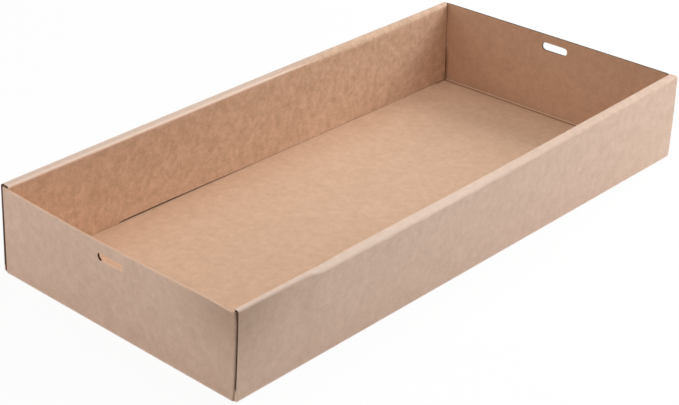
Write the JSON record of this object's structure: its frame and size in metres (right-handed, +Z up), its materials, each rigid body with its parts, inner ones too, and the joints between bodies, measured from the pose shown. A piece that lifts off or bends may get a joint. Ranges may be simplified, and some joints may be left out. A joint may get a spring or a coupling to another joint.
{
  "type": "cardboard tray box",
  "caption": "Shallow open tray folded from one sheet of corrugated kraft card, with rolled long walls and single end walls that have a round-ended lid slot.",
  "frame": {"origin": "on the table, under the middle of the base", "axes": "+X along the tray, +Y across it, +Z up"},
  "size_m": [0.5622, 0.2702, 0.08],
  "materials": {
    "tray": "matt kraft liner"
  },
  "bodies": {
    "root": {"tray": "tray"}
  },
  "joints": []
}
